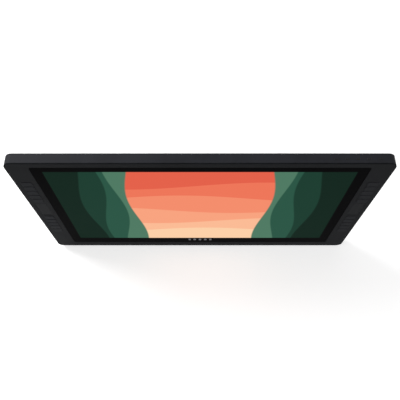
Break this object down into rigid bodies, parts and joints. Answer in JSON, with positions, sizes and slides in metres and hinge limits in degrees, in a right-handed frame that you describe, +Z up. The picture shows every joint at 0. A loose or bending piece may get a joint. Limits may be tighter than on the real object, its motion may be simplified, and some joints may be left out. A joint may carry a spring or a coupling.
{
  "type": "pen display tablet",
  "caption": "Wide flat pen display: flush glass screen in a slim dark housing, side express keys and touch strips, top buttons and a fold-out rear leg.",
  "frame": {"origin": "centre of the bounding box in X and Y, on the table plane that the feet rest on", "axes": "+X along the long side to the user's right, +Z up, screen facing -Y and leaning back 15 degrees"},
  "size_m": [0.584, 0.1404, 0.3304],
  "materials": {
    "frame_plastic": "fine textured dark grey front frame",
    "cover_plastic": "fine textured dark grey rear cover",
    "cover_glass": "etched cover glass with a black printed border",
    "lcd_glass": "lit liquid crystal cell with polarisers",
    "white_film": "diffuser and prism films",
    "guide_acrylic": "clear acrylic light guide with printed dots",
    "led_board": "white solder mask with lamps",
    "sheet_steel": "zinc plated sheet steel",
    "sensor_board": "dark green sensing grid board",
    "shield_foil": "soft magnetic shielding sheet",
    "brass": "turned brass",
    "green_board": "green solder mask",
    "aluminium_fins": "extruded aluminium heat sink",
    "steel_screw": "zinc plated screws",
    "black_screw": "black oxide screws",
    "socket_steel": "stamped plated shell",
    "jack_plastic": "black moulded jack",
    "rubber": "black rubber",
    "switch_plastic": "black tactile switches",
    "touch_bar": "smooth black touch strip",
    "status_lens": "small clear light pipe",
    "hinge_steel": "black powder coated steel",
    "pin_steel": "ground steel",
    "leg_metal": "powder coated die-cast leg",
    "key_plastic": "satin dark grey key cap",
    "top_key_plastic": "satin black button"
  },
  "bodies": {
    "tablet": {"front_frame": "frame_plastic", "cover_glass": "cover_glass", "lcd_cell": "lcd_glass", "optical_films": "white_film", "light_guide": "guide_acrylic", "led_strip": "led_board", "panel_tray": "sheet_steel", "pen_sensor_board": "sensor_board", "sensor_shield": "shield_foil", "board_standoffs": "brass", "main_board": "green_board", "driver_board": "green_board", "heat_sink": "aluminium_fins", "board_screws": "steel_screw", "video_socket": "socket_steel", "data_socket": "socket_steel", "power_jack": "jack_plastic", "rear_cover": "cover_plastic", "port_tray": "cover_plastic", "cover_screws": "black_screw", "vesa_inserts": "brass", "bottom_feet": "rubber", "key_boards": "green_board", "key_switches": "switch_plastic", "touch_bars": "touch_bar", "top_key_board": "green_board", "top_key_switches": "switch_plastic", "status_lens": "status_lens", "left_hinge_bracket": "hinge_steel", "right_hinge_bracket": "hinge_steel", "bracket_screws": "black_screw"},
    "stand": {"stand_leg": "leg_metal", "hinge_pins": "pin_steel", "friction_washers": "pin_steel", "stand_foot": "rubber"},
    "left_express_key_1_body": {"left_express_key_1": "key_plastic"},
    "left_express_key_2_body": {"left_express_key_2": "key_plastic"},
    "left_express_key_3_body": {"left_express_key_3": "key_plastic"},
    "left_express_key_4_body": {"left_express_key_4": "key_plastic"},
    "left_express_key_5_body": {"left_express_key_5": "key_plastic"},
    "left_express_key_6_body": {"left_express_key_6": "key_plastic"},
    "left_express_key_7_body": {"left_express_key_7": "key_plastic"},
    "left_express_key_8_body": {"left_express_key_8": "key_plastic"},
    "left_express_key_9_body": {"left_express_key_9": "key_plastic"},
    "left_express_key_10_body": {"left_express_key_10": "key_plastic"},
    "right_express_key_1_body": {"right_express_key_1": "key_plastic"},
    "right_express_key_2_body": {"right_express_key_2": "key_plastic"},
    "right_express_key_3_body": {"right_express_key_3": "key_plastic"},
    "right_express_key_4_body": {"right_express_key_4": "key_plastic"},
    "right_express_key_5_body": {"right_express_key_5": "key_plastic"},
    "right_express_key_6_body": {"right_express_key_6": "key_plastic"},
    "right_express_key_7_body": {"right_express_key_7": "key_plastic"},
    "right_express_key_8_body": {"right_express_key_8": "key_plastic"},
    "right_express_key_9_body": {"right_express_key_9": "key_plastic"},
    "right_express_key_10_body": {"right_express_key_10": "key_plastic"},
    "top_key_1_body": {"top_key_1": "top_key_plastic"},
    "top_key_2_body": {"top_key_2": "top_key_plastic"},
    "top_key_3_body": {"top_key_3": "top_key_plastic"},
    "top_key_4_body": {"top_key_4": "top_key_plastic"},
    "top_key_5_body": {"top_key_5": "top_key_plastic"}
  },
  "joints": [
    {"name": "leg_hinge", "type": "hinge", "parent": "tablet", "child": "stand", "pos_m": [0, 0.02514, 0.23711], "axis": [1, 0, 0], "range_deg": [-24.97, 118.03]},
    {"name": "left_express_key_1_press", "type": "slide", "parent": "tablet", "child": "left_express_key_1_body", "axis": [0, 0.9659, -0.2588], "range_m": [0, 0.0004], "stiffness_N_per_m": 1500, "springref_m": -0.0003},
    {"name": "left_express_key_2_press", "type": "slide", "parent": "tablet", "child": "left_express_key_2_body", "axis": [0, 0.9659, -0.2588], "range_m": [0, 0.0004], "stiffness_N_per_m": 1500, "springref_m": -0.0003},
    {"name": "left_express_key_3_press", "type": "slide", "parent": "tablet", "child": "left_express_key_3_body", "axis": [0, 0.9659, -0.2588], "range_m": [0, 0.0004], "stiffness_N_per_m": 1500, "springref_m": -0.0003},
    {"name": "left_express_key_4_press", "type": "slide", "parent": "tablet", "child": "left_express_key_4_body", "axis": [0, 0.9659, -0.2588], "range_m": [0, 0.0004], "stiffness_N_per_m": 1500, "springref_m": -0.0003},
    {"name": "left_express_key_5_press", "type": "slide", "parent": "tablet", "child": "left_express_key_5_body", "axis": [0, 0.9659, -0.2588], "range_m": [0, 0.0004], "stiffness_N_per_m": 1500, "springref_m": -0.0003},
    {"name": "left_express_key_6_press", "type": "slide", "parent": "tablet", "child": "left_express_key_6_body", "axis": [0, 0.9659, -0.2588], "range_m": [0, 0.0004], "stiffness_N_per_m": 1500, "springref_m": -0.0003},
    {"name": "left_express_key_7_press", "type": "slide", "parent": "tablet", "child": "left_express_key_7_body", "axis": [0, 0.9659, -0.2588], "range_m": [0, 0.0004], "stiffness_N_per_m": 1500, "springref_m": -0.0003},
    {"name": "left_express_key_8_press", "type": "slide", "parent": "tablet", "child": "left_express_key_8_body", "axis": [0, 0.9659, -0.2588], "range_m": [0, 0.0004], "stiffness_N_per_m": 1500, "springref_m": -0.0003},
    {"name": "left_express_key_9_press", "type": "slide", "parent": "tablet", "child": "left_express_key_9_body", "axis": [0, 0.9659, -0.2588], "range_m": [0, 0.0004], "stiffness_N_per_m": 1500, "springref_m": -0.0003},
    {"name": "left_express_key_10_press", "type": "slide", "parent": "tablet", "child": "left_express_key_10_body", "axis": [0, 0.9659, -0.2588], "range_m": [0, 0.0004], "stiffness_N_per_m": 1500, "springref_m": -0.0003},
    {"name": "right_express_key_1_press", "type": "slide", "parent": "tablet", "child": "right_express_key_1_body", "axis": [0, 0.9659, -0.2588], "range_m": [0, 0.0004], "stiffness_N_per_m": 1500, "springref_m": -0.0003},
    {"name": "right_express_key_2_press", "type": "slide", "parent": "tablet", "child": "right_express_key_2_body", "axis": [0, 0.9659, -0.2588], "range_m": [0, 0.0004], "stiffness_N_per_m": 1500, "springref_m": -0.0003},
    {"name": "right_express_key_3_press", "type": "slide", "parent": "tablet", "child": "right_express_key_3_body", "axis": [0, 0.9659, -0.2588], "range_m": [0, 0.0004], "stiffness_N_per_m": 1500, "springref_m": -0.0003},
    {"name": "right_express_key_4_press", "type": "slide", "parent": "tablet", "child": "right_express_key_4_body", "axis": [0, 0.9659, -0.2588], "range_m": [0, 0.0004], "stiffness_N_per_m": 1500, "springref_m": -0.0003},
    {"name": "right_express_key_5_press", "type": "slide", "parent": "tablet", "child": "right_express_key_5_body", "axis": [0, 0.9659, -0.2588], "range_m": [0, 0.0004], "stiffness_N_per_m": 1500, "springref_m": -0.0003},
    {"name": "right_express_key_6_press", "type": "slide", "parent": "tablet", "child": "right_express_key_6_body", "axis": [0, 0.9659, -0.2588], "range_m": [0, 0.0004], "stiffness_N_per_m": 1500, "springref_m": -0.0003},
    {"name": "right_express_key_7_press", "type": "slide", "parent": "tablet", "child": "right_express_key_7_body", "axis": [0, 0.9659, -0.2588], "range_m": [0, 0.0004], "stiffness_N_per_m": 1500, "springref_m": -0.0003},
    {"name": "right_express_key_8_press", "type": "slide", "parent": "tablet", "child": "right_express_key_8_body", "axis": [0, 0.9659, -0.2588], "range_m": [0, 0.0004], "stiffness_N_per_m": 1500, "springref_m": -0.0003},
    {"name": "right_express_key_9_press", "type": "slide", "parent": "tablet", "child": "right_express_key_9_body", "axis": [0, 0.9659, -0.2588], "range_m": [0, 0.0004], "stiffness_N_per_m": 1500, "springref_m": -0.0003},
    {"name": "right_express_key_10_press", "type": "slide", "parent": "tablet", "child": "right_express_key_10_body", "axis": [0, 0.9659, -0.2588], "range_m": [0, 0.0004], "stiffness_N_per_m": 1500, "springref_m": -0.0003},
    {"name": "top_key_1_press", "type": "slide", "parent": "tablet", "child": "top_key_1_body", "axis": [0, -0.2588, -0.9659], "range_m": [0, 0.0004], "stiffness_N_per_m": 1500, "springref_m": -0.0003},
    {"name": "top_key_2_press", "type": "slide", "parent": "tablet", "child": "top_key_2_body", "axis": [0, -0.2588, -0.9659], "range_m": [0, 0.0004], "stiffness_N_per_m": 1500, "springref_m": -0.0003},
    {"name": "top_key_3_press", "type": "slide", "parent": "tablet", "child": "top_key_3_body", "axis": [0, -0.2588, -0.9659], "range_m": [0, 0.0004], "stiffness_N_per_m": 1500, "springref_m": -0.0003},
    {"name": "top_key_4_press", "type": "slide", "parent": "tablet", "child": "top_key_4_body", "axis": [0, -0.2588, -0.9659], "range_m": [0, 0.0004], "stiffness_N_per_m": 1500, "springref_m": -0.0003},
    {"name": "top_key_5_press", "type": "slide", "parent": "tablet", "child": "top_key_5_body", "axis": [0, -0.2588, -0.9659], "range_m": [0, 0.0004], "stiffness_N_per_m": 1500, "springref_m": -0.0003}
  ]
}
